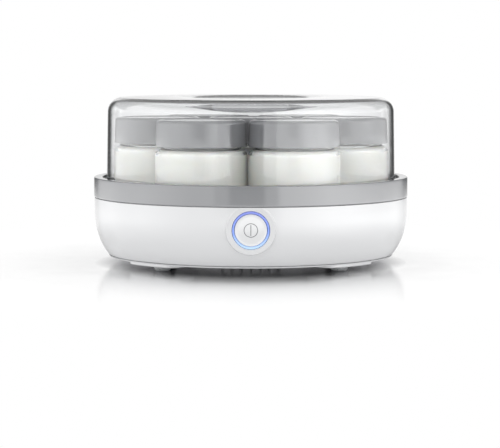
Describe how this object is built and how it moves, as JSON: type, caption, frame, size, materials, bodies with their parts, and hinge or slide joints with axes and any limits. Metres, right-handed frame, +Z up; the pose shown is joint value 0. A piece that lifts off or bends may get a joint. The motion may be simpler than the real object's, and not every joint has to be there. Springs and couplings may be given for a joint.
{
  "type": "yogurt maker",
  "caption": "Round heated base with a push button on a white shell and grey rim, a clear lift-off cover, and glass jars with grey screw lids.",
  "frame": {"origin": "centre of the base at the level of the feet's undersides", "axes": "+Z up along the round base's axis, -Y towards the power button, +X to the right seen from the button's side"},
  "size_m": [0.235, 0.235, 0.1241],
  "materials": {
    "white_plastic": "gloss",
    "grey_plastic": "satin",
    "lid_plastic": "satin",
    "clear_plastic": "clear",
    "jar_glass": "clear",
    "foot_rubber": "satin",
    "light_guide": "frosted",
    "zinc_steel": "satin",
    "aluminium": "satin",
    "heater_silicone": "matt",
    "mineral_board": "matt",
    "board_laminate": "satin",
    "component_white": "matt",
    "black_plastic": "satin",
    "wire_sleeve": "satin"
  },
  "bodies": {
    "base": {"base_screw_1": "zinc_steel", "base_screw_2": "zinc_steel", "base_screw_3": "zinc_steel", "base_screw_4": "zinc_steel", "base_shell": "white_plastic", "board_screw_left": "zinc_steel", "board_screw_right": "zinc_steel", "bottom_cover": "white_plastic", "button_board": "board_laminate", "button_guide": "black_plastic", "cord_gland": "black_plastic", "filter_capacitor": "black_plastic", "foot_front_left": "foot_rubber", "foot_front_right": "foot_rubber", "foot_rear_left": "foot_rubber", "foot_rear_right": "foot_rubber", "fuse_clip": "aluminium", "guide_screw_left": "zinc_steel", "guide_screw_right": "zinc_steel", "heat_plate": "aluminium", "heat_shield": "mineral_board", "heater_lead_left": "wire_sleeve", "heater_lead_right": "wire_sleeve", "heating_mat": "heater_silicone", "inner_tub": "white_plastic", "light_ring": "light_guide", "power_board": "board_laminate", "push_switch": "black_plastic", "relay": "black_plastic", "rim_band": "grey_plastic", "ring_led_1": "component_white", "ring_led_2": "component_white", "ring_led_3": "component_white", "ring_led_4": "component_white", "signal_cable": "wire_sleeve", "terminal_block": "component_white", "thermal_fuse": "component_white", "thermostat": "black_plastic"},
    "cover": {"cover": "clear_plastic"},
    "power_button": {"button_cap": "white_plastic", "switch_plunger": "black_plastic"},
    "jar_centre": {"jar_centre": "jar_glass"},
    "lid_centre": {"lid_centre": "lid_plastic"},
    "jar_1": {"jar_1": "jar_glass"},
    "lid_1": {"lid_1": "lid_plastic"},
    "jar_2": {"jar_2": "jar_glass"},
    "lid_2": {"lid_2": "lid_plastic"},
    "jar_3": {"jar_3": "jar_glass"},
    "lid_3": {"lid_3": "lid_plastic"},
    "jar_4": {"jar_4": "jar_glass"},
    "lid_4": {"lid_4": "lid_plastic"},
    "jar_5": {"jar_5": "jar_glass"},
    "lid_5": {"lid_5": "lid_plastic"},
    "jar_6": {"jar_6": "jar_glass"},
    "lid_6": {"lid_6": "lid_plastic"}
  },
  "joints": [
    {"name": "cover_lift", "type": "slide", "parent": "base", "child": "cover", "axis": [0, 0, 1], "range_m": [0, 0.24]},
    {"name": "power_button_press", "type": "slide", "parent": "base", "child": "power_button", "axis": [0, 1, 0], "range_m": [0, 0.0012], "stiffness_N_per_m": 600, "springref_m": -0.0006},
    {"name": "jar_centre_lift", "type": "slide", "parent": "base", "child": "jar_centre", "axis": [0, 0, 1], "range_m": [0, 0.0901]},
    {"name": "jar_1_lift", "type": "slide", "parent": "base", "child": "jar_1", "axis": [0, 0, 1], "range_m": [0, 0.0901]},
    {"name": "jar_2_lift", "type": "slide", "parent": "base", "child": "jar_2", "axis": [0, 0, 1], "range_m": [0, 0.0901]},
    {"name": "jar_3_lift", "type": "slide", "parent": "base", "child": "jar_3", "axis": [0, 0, 1], "range_m": [0, 0.0901]},
    {"name": "jar_4_lift", "type": "slide", "parent": "base", "child": "jar_4", "axis": [0, 0, 1], "range_m": [0, 0.0901]},
    {"name": "jar_5_lift", "type": "slide", "parent": "base", "child": "jar_5", "axis": [0, 0, 1], "range_m": [0, 0.0901]},
    {"name": "jar_6_lift", "type": "slide", "parent": "base", "child": "jar_6", "axis": [0, 0, 1], "range_m": [0, 0.0901]},
    {"name": "lid_centre_turn", "type": "hinge", "parent": "jar_centre", "child": "lid_centre", "pos_m": [0, 0, 0.0896], "axis": [0, 0, 1], "range_deg": [0, 90]},
    {"name": "lid_1_turn", "type": "hinge", "parent": "jar_1", "child": "lid_1", "pos_m": [0.03105, -0.06229, 0.0896], "axis": [0, 0, 1], "range_deg": [0, 90]},
    {"name": "lid_2_turn", "type": "hinge", "parent": "jar_2", "child": "lid_2", "pos_m": [0.06951, -0.00362, 0.0896], "axis": [0, 0, 1], "range_deg": [0, 90]},
    {"name": "lid_3_turn", "type": "hinge", "parent": "jar_3", "child": "lid_3", "pos_m": [0.03735, 0.05873, 0.0896], "axis": [0, 0, 1], "range_deg": [0, 90]},
    {"name": "lid_4_turn", "type": "hinge", "parent": "jar_4", "child": "lid_4", "pos_m": [-0.03274, 0.06142, 0.0896], "axis": [0, 0, 1], "range_deg": [0, 90]},
    {"name": "lid_5_turn", "type": "hinge", "parent": "jar_5", "child": "lid_5", "pos_m": [-0.06958, 0.00172, 0.0896], "axis": [0, 0, 1], "range_deg": [0, 90]},
    {"name": "lid_6_turn", "type": "hinge", "parent": "jar_6", "child": "lid_6", "pos_m": [-0.03574, -0.05972, 0.0896], "axis": [0, 0, 1], "range_deg": [0, 90]}
  ],
  "couplings": [
    {"joint": "jar_centre_lift", "follows": "cover_lift", "ratio": 0.375},
    {"joint": "jar_1_lift", "follows": "cover_lift", "ratio": 0.375},
    {"joint": "jar_2_lift", "follows": "cover_lift", "ratio": 0.375},
    {"joint": "jar_3_lift", "follows": "cover_lift", "ratio": 0.375},
    {"joint": "jar_4_lift", "follows": "cover_lift", "ratio": 0.375},
    {"joint": "jar_5_lift", "follows": "cover_lift", "ratio": 0.375},
    {"joint": "jar_6_lift", "follows": "cover_lift", "ratio": 0.375}
  ]
}
